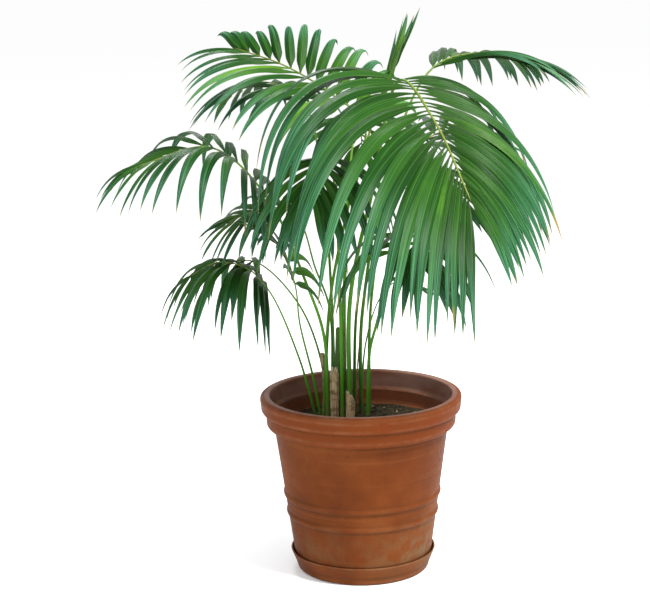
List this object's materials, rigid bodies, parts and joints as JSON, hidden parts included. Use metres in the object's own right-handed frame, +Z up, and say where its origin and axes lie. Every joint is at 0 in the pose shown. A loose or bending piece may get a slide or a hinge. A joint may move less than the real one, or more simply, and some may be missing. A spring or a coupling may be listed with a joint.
{
  "type": "potted palm",
  "caption": "Tall feather-leaved palm clump with arching fronds, planted in soil in a round terracotta planter with a banded rim, standing on a shallow saucer",
  "frame": {"origin": "centre of the saucer's underside, on the planter's axis", "axes": "+Z up; the planter is round about Z; the largest frond leans toward +X and -Y, so -Y is the front and +X is to the right"},
  "size_m": [1.2385, 1.2533, 1.3844],
  "materials": {
    "frond": "satin, waxy green leaf",
    "shoot": "smooth dark green shoot",
    "dry_sheath": "dry, fibrous tan sheath",
    "terracotta": "smooth unglazed terracotta",
    "soil": "crumbly dark potting soil"
  },
  "bodies": {
    "root": {"frond_front_right": "frond", "frond_upper_left": "frond", "frond_mid_left": "frond", "frond_low_left": "frond", "frond_small_left": "frond", "frond_low_left_back": "frond", "frond_low_left_young": "frond", "frond_upper_right": "frond", "frond_right_back": "frond", "frond_low_right": "frond", "frond_small_right": "frond", "frond_centre": "frond", "frond_new_spear": "frond", "frond_back_left": "frond", "frond_back": "frond", "frond_back_right": "frond", "shoot_core": "shoot", "cut_stub": "dry_sheath", "dead_stalk_left": "dry_sheath", "dead_stalk_right": "dry_sheath", "dried_sheath_tall": "dry_sheath", "dried_sheath_split": "dry_sheath", "pot": "terracotta", "saucer": "terracotta", "soil": "soil"}
  },
  "joints": []
}
